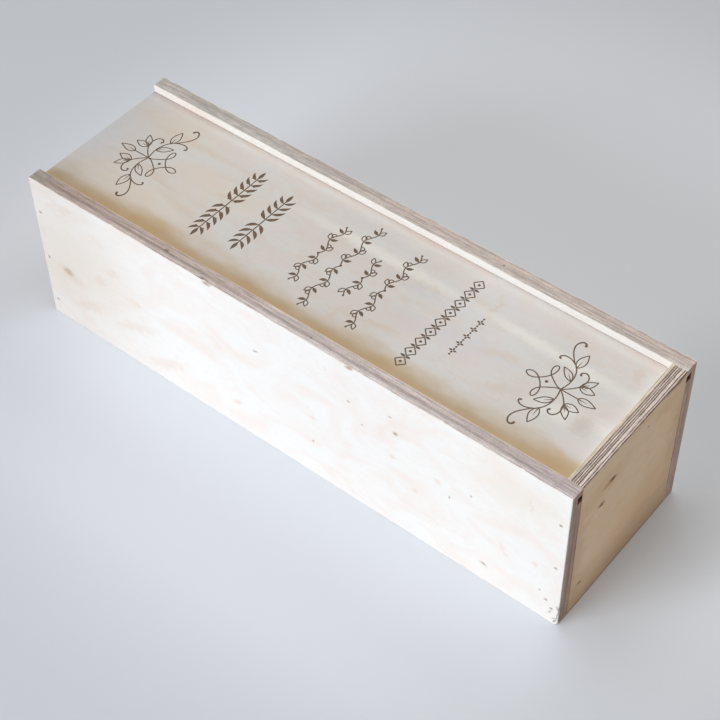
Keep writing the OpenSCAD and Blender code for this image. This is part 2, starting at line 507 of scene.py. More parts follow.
# Painted fall-off of the window's light: darker towards the left end, paler towards the right; the
# other three filters are changes of tone
LID_FALLOFF_AND_TONE = [
    (-110.0, -190.0, (0.86, 0.85, 0.84)),
    (60.0, 190.0, (1.05, 1.06, 1.07)),
    (-150.0, -186.0, (0.95, 1.0, 1.08)),
    (38.0, 66.0, (1.05, 1.07, 1.10)),
    (94.0, 124.0, (0.96, 0.945, 0.92)),
]
print(sum(len(places) for *_, places in LID_MARKS), "marks on the lid")

# %% [markdown]
# ## Seven veneers
#
# One function makes the veneer of every face. The tones run from pale to ochre, and the
# seed moves the noise on, so that no two faces show the same figure.

# %% Seven veneers
SIDE_TONES = (rgb(247, 242, 236), rgb(245, 234, 225), rgb(241, 224, 209))
LID_TONES = (rgb(221, 218, 214), rgb(222, 213, 206), rgb(219, 202, 184))
END_TONES = (rgb(250, 220, 184), rgb(248, 213, 172), rgb(241, 197, 143))
INNER_TONES = (rgb(249, 244, 237), rgb(246, 236, 225), rgb(239, 222, 203))

front_face = birch(
    "front_face", X, Z, SIDE_TONES, FRONT_MARKS, ends=FRONT_LIGHT_FALLOFF, ochre=0.4, fibre=0.4, flow=1.0
)
back_face = birch("back_face", X, Z, SIDE_TONES, seed=3.0, fibre=0.6)
inner_face = birch("inner_face", X, Z, INNER_TONES, seed=5.0, fibre=1.3)
tall_end_face = birch(
    "tall_end_face", Y, Z, END_TONES, END_MARKS, END_FOOT_SHADE_BANDS, seed=1.0, fibre=1.4, flow=1.0
)
low_end_face = birch("low_end_face", Y, Z, END_TONES, seed=8.0, fibre=1.4)
bottom_face = birch("bottom_face", X, Y, INNER_TONES, seed=9.0, fibre=1.3)
lid_face = birch("lid_face", X, Y, LID_TONES, LID_MARKS, LID_LIP_SHADE_BANDS, LID_FALLOFF_AND_TONE, flow=1.0, seed=2.0)
print("7 veneers made")

# %% [markdown]
# ## The cut edges of plywood
#
# A sawn edge shows the plies: sheets whose grain runs along the edge are pale and
# streaky, the crossed sheets between them show end grain and are darker, and thin glue
# lines part them. The pattern depends on one thing only, the depth below the board's
# face, so a colour ramp over that depth paints it. A little noise bends the depth, so
# that the lines waver as real plies do, and clouds of wear lie over it all.

# %% Plywood edge material
THIN_BOARD, THIN_BLUR, THICK_BLUR, GLUE_BLUR = 5.0, 0.1, 0.3, 0.1
# DIRT is for specks and streaks; the red-brown is painted shade in the grooves' ends and the joint
# hairline
DIRT, SHADE_AND_JOINT_COLOUR = rgb(96, 66, 56), rgb(118, 50, 32)
# Clouds: along, across, detail, roughness, bend, shift
FIBRES = (0.5, 1.6, 3.0, 0.7)
SLOW_BEND, SLOW_SWING = (16.0, 4.0, 2.0, 0.5), 0.7
FAST_BEND, FAST_SWING = (2.6, 0.8, 2.0, 0.6, 0.0, 9.0), 0.6
EDGE_RELIEF = {"Strength": 0.5, "Distance": 0.00015}
# How far the painted shade in the grooves' ends and the joint hairline covers the wood
SHADE_AND_JOINT_SHARE = 0.92
# Layers for weather: a cloud, (low, high, share at low, share at high), a colour or None
FAINT_LINES = [(9.0, 0.9, 2.0, 0.6, 0.0, 14.0, (0.46, 0.66, 0.0, 0.5), rgb(204, 184, 172))]
EDGE_WEAR = [
    (34.0, 0.7, 3.0, 0.65, 0.0, 6.0, (0.32, 0.68, 1.13, 0.76), None),
    (7.0, 1.6, 3.0, 0.6, 0.0, 2.0, (0.32, 0.7, 1.08, 0.88), None),
    (12.0, 0.22, 1.0, 0.5, 0.0, 8.0, (0.60, 0.74, 0.0, 0.6), rgb(112, 88, 82)),
    (*FIBRES, (0.28, 0.72, 1.09, 0.86), None),
    (2.0, 0.35, 1.0, 0.5, 0.0, 4.0, (0.68, 0.80, 0.0, 0.45), rgb(110, 84, 72)),
]


def plies(
    name, along, through, start, step, layers, glue=None, ends=(), marks=(), strength=0.7, groove_shade_and_joint=None
):
    """`layers` lists (depth where the sheet ends, its colour). Depth runs through the
    board from `start`, in the sense of `step`; `along` is the way the edge runs. `ends`
    is as for veneer, `marks` lists dark spots of one `strength`, and `groove_shade_and_joint` gives
    (from, to), counted from the middle both ways, where the wood is painted dark red-brown:
    painted shade near the open ends of the grooves, and the dark hairline of a joint."""
    material, tree, shader, place = new_finish(name, along, through)
    axes = put(tree, "SeparateXYZ", i0=place).outputs
    depth = calc(tree, "MULTIPLY", calc(tree, "SUBTRACT", axes[Y], start), step)
    slow = calc(tree, "SUBTRACT", cloud(tree, place, *SLOW_BEND), 0.5)
    slow = calc(tree, "MULTIPLY", slow, SLOW_SWING)
    fast = calc(tree, "SUBTRACT", cloud(tree, place, *FAST_BEND), 0.5)
    fast = calc(tree, "MULTIPLY", fast, FAST_SWING)
    thickness = layers[-1][0]
    bent = calc(tree, "ADD", depth, calc(tree, "ADD", slow, fast))
    share = calc(tree, "DIVIDE", bent, thickness)
    ramp = put(tree, "ValToRGB", None, i0=share)
    blur = THIN_BLUR if thickness < THIN_BOARD else THICK_BLUR
    # Each sheet has two stops, a blur inside its limits, and glue has two of its own
    stops = []
    top = 0.0
    for number, (bottom, colour) in enumerate(layers):
        stops.append((top + (blur if number else 0.0), colour))
        last = number == len(layers) - 1
        stops.append((bottom - (0.0 if last else blur), colour))
        if not last and glue:
            stops += [(bottom - GLUE_BLUR, glue), (bottom + GLUE_BLUR, glue)]
        top = bottom
    elements = ramp.color_ramp.elements
    for element, position, stop in ((elements[0], 0.0, stops[0]), (elements[1], 1.0, stops[-1])):
        element.position, element.color = position, stop[1]
    for depth_mm, colour in stops[1:-1]:
        elements.new(depth_mm / thickness).color = colour
    wear = (FAINT_LINES if glue else []) + EDGE_WEAR
    colour = weather(tree, place, ramp.outputs[0], wear)
    colour = filtered(tree, axes[X], colour, ends)
    if marks:
        flat = vector_calc(tree, "MULTIPLY", place, (1.0, 1.0, 0.0))
        mask = calc(tree, "MULTIPLY", spots(tree, flat, marks), strength)
        colour = tint(tree, mask, colour, DIRT)
    # Painted shade near the grooves' open ends, and the dark hairline of the end boards' joints
    if groove_shade_and_joint:
        shade_and_joint_mask = ease_range(tree, calc(tree, "ABSOLUTE", axes[X]), *groove_shade_and_joint, 0.0, SHADE_AND_JOINT_SHARE)
        colour = tint(tree, shade_and_joint_mask, colour, SHADE_AND_JOINT_COLOUR)
    hairs = cloud(tree, place, *FIBRES)
    bump = put(tree, "Bump", None, **EDGE_RELIEF, Height=hairs).outputs[0]
    fill(tree, shader, {"Base Color": colour, "Normal": bump, "Roughness": 0.68, "IOR": 1.4})
    return material


print("ply edges ready")

# %% [markdown]
# ## Ply by ply
#
# Each list gives one board's plies, with the depth where each ends and its colour. The
# side boards are read from the outer face, and their ends, which show end grain, are
# browner. The end boards show dark glue lines. The lid and the bottom are thin sheets of
# three plies.

# %% Plies of each board
def sheets(*rows):
    """The plies of a board, as (depth where the sheet ends, its colour)."""
    return [(depth, rgb(*chart)) for depth, *chart in rows]


FRONT_LAYERS = sheets(
    (0.9, 219, 207, 204), (3.2, 233, 221, 218), (4.9, 198, 183, 179), (5.7, 222, 208, 204),
    (7.9, 219, 205, 200), (BOARD, 219, 202, 189),
)
BACK_LAYERS = sheets(
    (1.2, 203, 191, 183), (2.2, 211, 196, 187), (3.4, 216, 201, 192), (4.8, 206, 192, 183),
    (6.2, 213, 199, 191), (7.9, 212, 201, 193), (BOARD, 222, 212, 202),
)
FRONT_END_LAYERS = sheets(
    (0.9, 212, 199, 192), (2.0, 194, 172, 160), (3.3, 184, 157, 141), (4.6, 192, 160, 141),
    (5.9, 183, 153, 135), (7.6, 194, 163, 144), (BOARD, 192, 156, 134),
)
BACK_END_LAYERS = sheets(
    (0.9, 210, 192, 178), (2.3, 205, 180, 162), (3.6, 198, 170, 152), (5.0, 205, 175, 155),
    (6.4, 198, 168, 149), (7.8, 206, 176, 154), (BOARD, 206, 173, 148),
)
TALL_LAYERS = sheets(
    (0.28, 168, 142, 122), (1.42, 230, 211, 200), (3.25, 247, 230, 218), (4.45, 206, 187, 176),
    (5.5, 245, 227, 216), (6.8, 206, 189, 177), (BOARD, 238, 222, 202),
)
GLUE_LINES = [depth for depth, _ in TALL_LAYERS[:-1]]
LID_LAYERS = sheets((1.3, 226, 210, 190), (2.7, 184, 158, 134), (4.0, 226, 210, 190))
GLUE = rgb(58, 34, 36)
print(len(GLUE_LINES), "glue lines in an end board")

# %% [markdown]
# ## Eleven edges
#
# An edge isn't the same from end to end. The top edges of the side boards are painted
# darker towards the low end, as the window's light falls off, and are greyer or paler in
# places; handling has left dark specks and streaks. The grooves are painted dark near both
# ends, as shade inside their open ends, and a dark hairline shows where an end board meets
# the sides. With these lists, one function makes every edge.

# %% Edges
# Painted fall-off of the window's light: darker towards the low end; the rest are changes of tone
FRONT_EDGE_FALLOFF_AND_TONE = [
    (0.0, -190.0, (0.82, 0.78, 0.75)),
    (-60.0, -168.0, (0.81, 0.80, 0.77)),
    (-163.0, -181.0, (0.84, 0.96, 0.98)),
    (5.0, -35.0, (0.88, 0.85, 0.82)),
    (-70.0, -100.0, (1.10, 1.10, 1.12)),
    (126.0, 158.0, (0.88, 0.87, 0.90)),
]
# Painted fall-off of the window's light: darker and cooler towards the low end
BACK_EDGE_FALLOFF = [(60.0, -170.0, (0.88, 0.95, 0.97))]
FRONT_EDGE_SPECKS = [
    (19.8, -51.4, 1, 0.7, 0), (-80.9, -50, 2.4, 0.8, 0), (-51, -54.2, 4, 1.4, 0),
    (47, -54.4, 3.4, 1, 0),
]
BACK_EDGE_SPECKS = [(66.4, 50.4, 1.1, 0.8, 0)]
FRONT_END_STREAKS = [(36, -50.6, 54, 1.5, 0), (54, -46.7, 60, 0.7, 0), (8, -53, 14, 1.6, 0)]
BACK_END_STREAKS = [
    (60, 46.7, 60, 0.8, 0), (74, 50.5, 40, 1.2, 0), (105.2, 50.5, 1.6, 5, 0), (92, 48, 7, 2.6, 0),
]
# Painted shade: the grooves are darkened near both ends, inside their open ends
GROOVE_END_SHADE = (150.0, 174.0)
JOINT_SCORCH = (INNER_Y - 0.1, INNER_Y)

FRONT_SIDE, BACK_SIDE = (-OUTER_Y, 1.0), (OUTER_Y, -1.0)
front_edge = plies(
    "front_edge", X, Y, *FRONT_SIDE, FRONT_LAYERS, ends=FRONT_EDGE_FALLOFF_AND_TONE, marks=FRONT_EDGE_SPECKS
)
back_edge = plies(
    "back_edge", X, Y, *BACK_SIDE, BACK_LAYERS, ends=BACK_EDGE_FALLOFF, marks=BACK_EDGE_SPECKS
)
front_groove = plies("front_groove", X, Y, *FRONT_SIDE, FRONT_LAYERS, groove_shade_and_joint=GROOVE_END_SHADE)
back_groove = plies("back_groove", X, Y, *BACK_SIDE, BACK_LAYERS, groove_shade_and_joint=GROOVE_END_SHADE)
front_end = plies(
    "front_end", Z, Y, *FRONT_SIDE, FRONT_END_LAYERS, marks=FRONT_END_STREAKS, strength=0.4
)
back_end = plies("back_end", Z, Y, *BACK_SIDE, BACK_END_LAYERS, marks=BACK_END_STREAKS, strength=0.35)
tall_edge = plies("tall_edge", Y, X, HALF_LENGTH, -1.0, TALL_LAYERS, GLUE, groove_shade_and_joint=JOINT_SCORCH)
low_edge = plies("low_edge", Y, X, -HALF_LENGTH, 1.0, TALL_LAYERS, GLUE, groove_shade_and_joint=JOINT_SCORCH)
lid_edge = plies("lid_edge", X, Z, GROOVE_FLOOR, 1.0, LID_LAYERS, GLUE)
lid_end = plies("lid_end", Y, Z, GROOVE_FLOOR, 1.0, LID_LAYERS, GLUE)
bottom_edge = plies("bottom_edge", X, Z, 0.0, 1.0, LID_LAYERS, GLUE)
print("11 ply edges made")

# %% [markdown]
# ## Burnt lines and steel
#
# The ornament is burnt in by a laser, which leaves a shallow groove with a dark brown,
# slightly uneven floor. The brads are thin steel wire, dull and grey.

# %% Burnt wood and steel
def plain(name, colours, patch, rough, metal=0.0):
    """One finish between two colours, mottled in patches of about `patch` mm."""
    material, tree, shader, place = new_finish(name)
    mottle = cloud(tree, place, patch, patch, 3.0, 0.6)
    colour = tint(tree, ease_range(tree, mottle, 0.35, 0.65), *colours)
    bump = put(tree, "Bump", None, Strength=0.5, Distance=0.00005, Height=mottle).outputs[0]
    gloss = ease_range(tree, mottle, 0.3, 0.7, rough - 0.08, rough + 0.08)
    fill(tree, shader, {"Base Color": colour, "Normal": bump, "Roughness": gloss, "Metallic": metal})
    return material


burnt = plain("burnt_line", (rgb(127, 107, 87), rgb(101, 83, 66)), patch=0.8, rough=0.8)
steel = plain("brad_steel", (rgb(222, 217, 212), rgb(194, 188, 182)), patch=0.7, rough=0.45, metal=0.3)
for node in sorted(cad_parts):
    if node.endswith("_brads"):
        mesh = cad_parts[node].data
        mesh.materials.clear()
        mesh.materials.append(steel)
print("steel on", sum(n.endswith("_brads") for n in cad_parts), "groups of brads")

# %% [markdown]
# ## A shell to build boards in
#
# A board's surface is made in parts: a long skin, its two ends, and flats with holes in
# them. A shell collects their points and faces and turns them into one mesh, which rides
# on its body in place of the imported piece. A helper for smooth noise comes with it,
# because nothing on an old box is quite straight.

# %% Shell and smooth noise
class Shell:
    """Points and faces of one piece, in millimetres, until the mesh is made. Points are
    (along, p, q): along the board, and the two ways across it, right-handed."""

    def __init__(self):
        self.points = np.zeros((0, 3))
        self.blocks = []

    def add_points(self, points):
        """Appends points and returns their numbers."""
        first = len(self.points)
        self.points = np.vstack([self.points, points])
        return np.arange(first, len(self.points))

    def add_faces(self, faces, slots):
        """Appends faces, with one material slot for all or one for each."""
        faces = np.asarray(faces, int)
        self.blocks.append((faces, np.broadcast_to(slots, len(faces)).astype(np.int32)))

    def make(self, node, materials, body, slot, order=(0, 1, 2)):
        """Makes the mesh, leaves out points that no face uses, and ties it to its body.
        `order` says which of (along, p, q) becomes X, Y and Z."""
        used = np.unique(np.concatenate([faces.ravel() for faces, _ in self.blocks]))
        fresh = np.zeros(len(self.points), int)
        fresh[used] = np.arange(len(used))
        faces = [face for block, _ in self.blocks for face in fresh[block].tolist()]
        mesh = bpy.data.meshes.new(node + "_wood")
        mesh.from_pydata((self.points[used][:, list(order)] * MM).tolist(), [], faces)
        kinds = np.concatenate([slots for _, slots in self.blocks])
        mesh.polygons.foreach_set("material_index", kinds)
        for material in materials:
            mesh.materials.append(material)
        mesh.update()
        piece = bpy.data.objects.new(node + "_wood", mesh)
        bpy.context.scene.collection.objects.link(piece)
        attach(piece, body)
        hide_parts(node)
        print(f"{piece.name}: {len(used)} points, {len(faces)} faces")
        return piece


HEIGHTS, MIDDLE = 4096, 1024.0


def wander(places, step, seed):
    """Smooth noise from -1 to 1: random heights every `step` mm, joined by S curves."""
    heights = np.random.default_rng(seed).uniform(-1.0, 1.0, HEIGHTS)
    scaled = np.asarray(places, float) / step + MIDDLE
    left = np.floor(scaled).astype(int)
    share = scaled - left
    share = share * share * (3.0 - 2.0 * share)
    return heights[left] * (1.0 - share) + heights[left + 1] * share


def roam(places, slow, fast, seed):
    """Smooth noise of two sizes: six parts of the slow one and four of the fast."""
    return 0.6 * wander(places, slow, seed) + 0.4 * wander(places, fast, seed + 1)


print("shell and smooth noise ready")

# %% [markdown]
# ## A profile along a path
#
# A board could be a cube with a bevel, but then all its edges would be equally sharp and
# straight. Here a board is a profile carried along a path. The profile is the board's
# cross-section, and each of its corners is eased by a small curve. The amount of easing
# is a function of the corner and of the place along the board, so an arris can wander,
# thin out, and break away in a chip, as a sanded edge does.

# %% Sweep
EASE_STEPS = 4


def columns(grid, corners):
    """Columns of the flat that runs from the curve of one corner to that of another."""
    first, last = corners
    ring = grid.shape[1]
    start = first * EASE_STEPS + EASE_STEPS - 1
    end = last * EASE_STEPS + (ring if last <= first else 0)
    return np.arange(start, end + 1) % ring


def weave(rings):
    """Quads between neighbouring rings of point numbers."""
    after = np.roll(rings, -1, 1)
    return np.stack([rings[:-1], after[:-1], after[1:], rings[1:]], 2)


def sweep(shell, corners, along, ease, inset, slots, open_flats=()):
    """P(i, k, s): at station i, corner k is cut back by `ease` on both sides and joined
    by the curve (1-s)^2 A + 2 s (1-s) C + s^2 B. `inset` draws the section in, by one
    number for each station or one for the side after each corner; it rounds the ends.
    `slots` gives (slot of the curve, slot of the flat) for each corner. `open_flats`
    lists (corners, stations) that a patch fills later."""
    corners = np.broadcast_to(corners, (len(along), *np.shape(corners)[-2:]))
    forward = np.roll(corners, -1, 1) - corners
    forward = forward / np.linalg.norm(forward, axis=2, keepdims=True)
    before = np.roll(forward, 1, 1)
    normal_after = np.stack([-forward[..., 1], forward[..., 0]], 2)
    normal_before = np.stack([-before[..., 1], before[..., 0]], 2)
    turn = 1.0 + (normal_before * normal_after).sum(2, keepdims=True)
    inset = np.broadcast_to(np.reshape(inset, (len(along), -1, 1)), (*corners.shape[:2], 1))
    drawn_in = np.roll(inset, 1, 1) * normal_before + inset * normal_after
    middle = corners + drawn_in / turn
    a = (middle - ease[..., None] * before)[:, :, None]
    b = (middle + ease[..., None] * forward)[:, :, None]
    c = middle[:, :, None]
    s = np.linspace(0.0, 1.0, EASE_STEPS)[None, None, :, None]
    count, ring = len(along), corners.shape[1] * EASE_STEPS
    section = ((1 - s) ** 2 * a + 2 * s * (1 - s) * c + s**2 * b).reshape(count, ring, 2)
    path = np.broadcast_to(np.asarray(along, float)[:, None, None], (count, ring, 1))
    points = np.concatenate([path, section], 2).reshape(-1, 3)
    grid = shell.add_points(points).reshape(count, ring)
    quads = weave(grid)
    place = np.arange(ring)
    kind = np.array(slots)[place // EASE_STEPS, (place % EASE_STEPS == EASE_STEPS - 1).astype(int)]
    keep = np.ones((count - 1, ring), bool)
    for pair, (first, last) in open_flats:
        keep[first:last, columns(grid, pair)[:-1]] = False
    shell.add_faces(quads[keep], np.broadcast_to(kind, keep.shape)[keep])
    return grid


def border(grid, corners, stations):
    """The numbers round a flat that was left open, anticlockwise from outside."""
    first, last = stations
    across = columns(grid, corners)
    near = grid[first : last + 1, across[-1]]
    far = grid[first : last + 1, across[0]][::-1]
    return np.concatenate([near, grid[last, across[::-1]][1:], far[1:], grid[first, across][1:-1]])


print("sweep ready, with", EASE_STEPS, "points to a corner")

# %% [markdown]
# ## Flats with holes and grooves
#
# A flat with round holes or sunk lines is no grid of quads. Booleans could cut it, but
# they are slow with thousands of strokes, and fail where outlines touch. Instead, the
# flat's border, its holes and its lines go to a Delaunay triangulation, which joins them
# in one plane and says which outlines each triangle lies in. Those in a hole are left
# out, and those in a line are lowered.

# %% Patches and holes
def plane_of(outward):
    """Two unit vectors in a plane, the first along the board where it can be."""
    outward = np.asarray(outward, float)
    across = np.array([0.0, 1.0, 0.0] if abs(outward[0]) > 0.5 else [1.0, 0.0, 0.0])
    return outward, across, np.cross(outward, across)


MERGE = 1e-5


def patch(shell, ring, outward, slot, holes=(), lines=None, depth=0.0, sunk_slot=0):
    """Fills a flat ring with triangles. Each ring in `holes` stays open. Where a cell of
    `lines` lies, the surface sinks by `depth`, between upright walls."""
    outward, across, up = plane_of(outward)
    known = np.concatenate([ring, *holes]).astype(int)
    flat = np.stack([shell.points[known] @ across, shell.points[known] @ up], 1)
    level = float((shell.points[ring] @ outward).mean())
    sizes = [len(ring), *map(len, holes)]
    outlines = [part.tolist() for part in np.split(np.arange(len(known)), np.cumsum(sizes)[:-1])]
    for hole in range(1, len(outlines)):
        x, y = flat[outlines[hole]].T
        if (x * np.roll(y, -1) - y * np.roll(x, -1)).sum() < 0:
            outlines[hole].reverse()
    if lines is not None:
        outlines += (lines[1] + len(flat)).tolist()
        flat = np.vstack([flat, lines[0]])
    # Outline 0 is the ring, the holes come next, and the rest are cells of lines
    corners_in = list(map(Vector, flat))
    spots_out, _, triangles, origins, _, owners = delaunay_2d_cdt(corners_in, [], outlines, 0, MERGE)
    spots_out, triangles = np.array(spots_out), np.array(triangles)
    origin = np.array([o[0] if o else len(flat) for o in origins])
    numbers = np.zeros(len(origin), int)
    is_known = origin < len(known)
    numbers[is_known] = known[origin[is_known]]
    spot = spots_out[~is_known]
    numbers[~is_known] = shell.add_points(spot[:, :1] * across + spot[:, 1:] * up + level * outward)
    inside = np.array([0 in o for o in owners])
    most = np.array([max(o, default=0) for o in owners])
    top = inside & (most == 0)
    shell.add_faces(numbers[triangles[top]], slot)
    if lines is None:
        return
    deep = triangles[inside & (most > len(holes))]
    used = np.unique(deep)
    low = np.zeros(len(numbers), int)
    low[used] = shell.add_points(shell.points[numbers[used]] - depth * outward)
    shell.add_faces(low[deep], sunk_slot)
    # Walls stand on the rim of the sunk part, where an edge has no twin that runs back
    edges = np.concatenate([deep[:, [0, 1]], deep[:, [1, 2]], deep[:, [2, 0]]])
    ahead = edges[:, 0] * len(numbers) + edges[:, 1]
    back = edges[:, 1] * len(numbers) + edges[:, 0]
    here, there = edges[~np.isin(ahead, back)].T
    shell.add_faces(np.stack([low[there], low[here], numbers[here], numbers[there]], 1), sunk_slot)


def caps(shell, grid, slot):
    """Closes the first and the last ring of a sweep."""
    patch(shell, grid[-1], (1.0, 0.0, 0.0), slot)
    patch(shell, grid[0][::-1], (-1.0, 0.0, 0.0), slot)


HOLE_SIDES = 24


def drill(shell, centre, outward, steps, slot):
    """The wall of a round hole, whose steps are (radius, depth) from the face inwards.
    Returns its rings of points."""
    outward, across, up = plane_of(outward)
    angle = np.linspace(0.0, 2 * np.pi, HOLE_SIDES, endpoint=False)[:, None]
    circle = np.cos(angle) * across + np.sin(angle) * up
    centre = np.asarray(centre, float)
    rings = [shell.add_points(centre + radius * circle - depth * outward) for radius, depth in steps]
    shell.add_faces(weave(np.stack(rings)).reshape(-1, 4), slot)
    return rings


print("patches, caps and drilled holes ready")

# %% [markdown]
# ## Where the sections stand
#
# A board needs many sections near its ends, where the arrises turn the corner, and fewer
# between them. The first five follow a quarter of a circle, the next widen out step by
# step, and the rest stand at equal distances.

# %% Stations along a board
END_LEAD = [0.8, 1.3, 1.9, 2.6, 3.4, 4.6, 6.0]
END_MARGIN = 8.0
ROUND_STEPS = 5


def stations(low, high, softening, spacing):
    """Places along a board, close together near its ends, and the inset that rounds them."""
    angle = np.linspace(0.0, np.pi / 2, ROUND_STEPS)
    lead = np.concatenate([softening * (1 - np.cos(angle)), END_LEAD])
    inset = np.zeros(len(lead))
    inset[: len(angle)] = softening * (1 - np.sin(angle))
    count = int((high - low - 2 * END_MARGIN) / spacing) + 2
    middle = np.linspace(low + END_MARGIN, high - END_MARGIN, count)
    along = np.concatenate([low + lead, middle, high - lead[::-1]])
    return along, np.concatenate([inset, np.zeros(count), inset[::-1]])


print("stations ready,", ROUND_STEPS, "of them in each rounded end")

# %% [markdown]
# ## Holes for the brads
#
# Each corner joint is nailed through the side board into the end board, with three brads
# set a little below the face. The holes are drilled right through, as they are on the
# bench, so that each brad sits in a real hole: wide for its head, narrow for its shank.

# %% Brad holes
BRADS = 3
HEAD_RADIUS, SHANK_RADIUS, BRAD_ROOM = 1.0, 0.6, 0.02
HEAD_HOLE, SHANK_HOLE = HEAD_RADIUS + BRAD_ROOM, SHANK_RADIUS + BRAD_ROOM
BRAD_SHELF = 1.02
BRAD_TIP = 25.42
HEAD_STEPS = [(HEAD_HOLE, 0.0), (HEAD_HOLE, BRAD_SHELF)]
SIDE_STEPS = [*HEAD_STEPS, (SHANK_HOLE, BRAD_SHELF), (SHANK_HOLE, BOARD)]
END_STEPS = [(SHANK_HOLE, 0.0), (SHANK_HOLE, BRAD_TIP - BOARD)]


def brad_places(side, end):
    """Where the brads of one joint stand: their place along the box, and their heights."""
    low, high = span(f"{side}_{end}_end_brads")
    heights = np.linspace(low[2] + HEAD_RADIUS, high[2] - HEAD_RADIUS, BRADS)
    return (low[0] + high[0]) / 2, heights


print("brads at heights", np.round(brad_places("front", "tall")[1], 1), "mm")

# %% [markdown]
# ## The section of a side board
#
# Each side board runs the full length and height of the box. Near its top a groove for
# the lid is milled through its whole length. The lip above the groove is cut a little
# low, so that only a hair of a gap shows over the lid. The outer arrises are rounded at
# the ends too, but not those against the end boards, where the joint is tight. The front
# board has extra rows of points low on its face, where its right corner is worn.

# %% Section of a side board
LIP_SAG = 0.25
FACE, INSIDE, EDGE, END, GROOVE = range(5)
# y, z, slots of the curve and of the flat after it, easing, its roaming, rounding at the ends
SIDE_CORNERS = [
    (-OUTER_Y, 0.0, FACE, EDGE, 0.45, 0.15, 1.0),
    (-INNER_Y, 0.0, INSIDE, INSIDE, 0.2, 0.05, 0.0),
    (-INNER_Y, GROOVE_FLOOR, INSIDE, GROOVE, 0.2, 0.08, 1.0),
    (-GROOVE_Y, GROOVE_FLOOR, GROOVE, GROOVE, 0.05, 0.0, 1.0),
    (-GROOVE_Y, GROOVE_ROOF, GROOVE, GROOVE, 0.05, 0.0, 1.0),
    (-INNER_Y, GROOVE_ROOF - LIP_SAG, INSIDE, INSIDE, 0.08, 0.03, 0.3),
    (-INNER_Y, HEIGHT, INSIDE, EDGE, 0.3, 0.2, 1.0),
    (-OUTER_Y, HEIGHT, FACE, FACE, 0.5, 0.3, 1.0),
]
TOP_ARRIS = 7
LOW_ROWS = (22.0, 19.0, 16.5, 14.0, 12.0, 10.0, 8.2, 6.6, 5.2, 4.0, 3.0, 2.2)
LOW_CORNERS = [(-OUTER_Y, z, FACE, FACE, 0.05, 0.0, 1.0) for z in LOW_ROWS]
print(len(SIDE_CORNERS), "corners, and", len(LOW_ROWS), "rows for the worn corner")

# %% [markdown]
# ## Chips and the worn corner
#
# A sanded arris loses splinters, and the lower right corner of the front has been knocked
# and frayed. A bevel can't do this, but points can be moved: a chip eases the arris more,
# over a short length, and the worn corner is pushed back to a ragged limit.

# %% Wear
def chipped(along, chips):
    """Extra easing where an arris has lost a splinter: (place, half length, depth)."""
    extra = np.zeros(len(along))
    for place, half, depth in chips:
        away = np.clip(np.abs(along - place) / half, 0.0, 1.0)
        extra = np.maximum(extra, depth * (1.0 - away**2) ** 0.5)
    return extra


WORN_HEIGHT, WORN_FADE, WORN_DEPTH = 24.0, 8.0, 0.35
TIP_CUT, TIP_RAG = 2.0, 0.7


def wear_corner(shell):
    """Splinters the lower right corner of the front board: points nearer to the upright
    arris than a ragged limit are pushed back along its diagonal, and the tip is cut off."""
    x, y, z = shell.points.T
    limit = WORN_DEPTH + 0.45 * wander(z, 2.1, 31) + 0.3 * wander(z, 0.9, 32)
    limit = np.clip(limit, 0.0, None) * np.clip((WORN_HEIGHT - z) / WORN_FADE, 0.0, 1.0)
    lack = np.clip(limit - (HALF_LENGTH - x) - (y + OUTER_Y), 0.0, None) / 2
    x, y = x - lack, y + lack
    ragged = TIP_CUT + TIP_RAG * wander(x * 3 + z * 5, 1.3, 33)
    lack = np.clip(ragged - (HALF_LENGTH - x) - (y + OUTER_Y) - z, 0.0, None) / 3
    shell.points = np.stack([x - lack, y + lack, z + lack], 1)


print("wear ready, up to", WORN_HEIGHT, "mm above the table")

# %% [markdown]
# ## The two side boards
#
# The back board is the mirror image of the front one, so one function makes both: it
# turns the section round for the back, which keeps its faces outward. The skin is swept,
# the middle of both faces is left open, and patches with the brads' holes fill them.

# %% Side boards
SIDE_SOFTENING, SIDE_SPACING = 0.35, 1.6
SIDE_SHIFT = 97.0
CLEAR, WORN_CLEAR = 4, 9
FRONT_CHIPS = [(-50, 1.6, 0.7), (47, 2.0, 0.8), (-118, 1.2, 0.5), (104, 1.4, 0.5), (152, 1.0, 0.5)]
BACK_CHIPS = [(-92, 1.5, 0.6), (66, 1.8, 0.6), (140, 1.1, 0.5)]


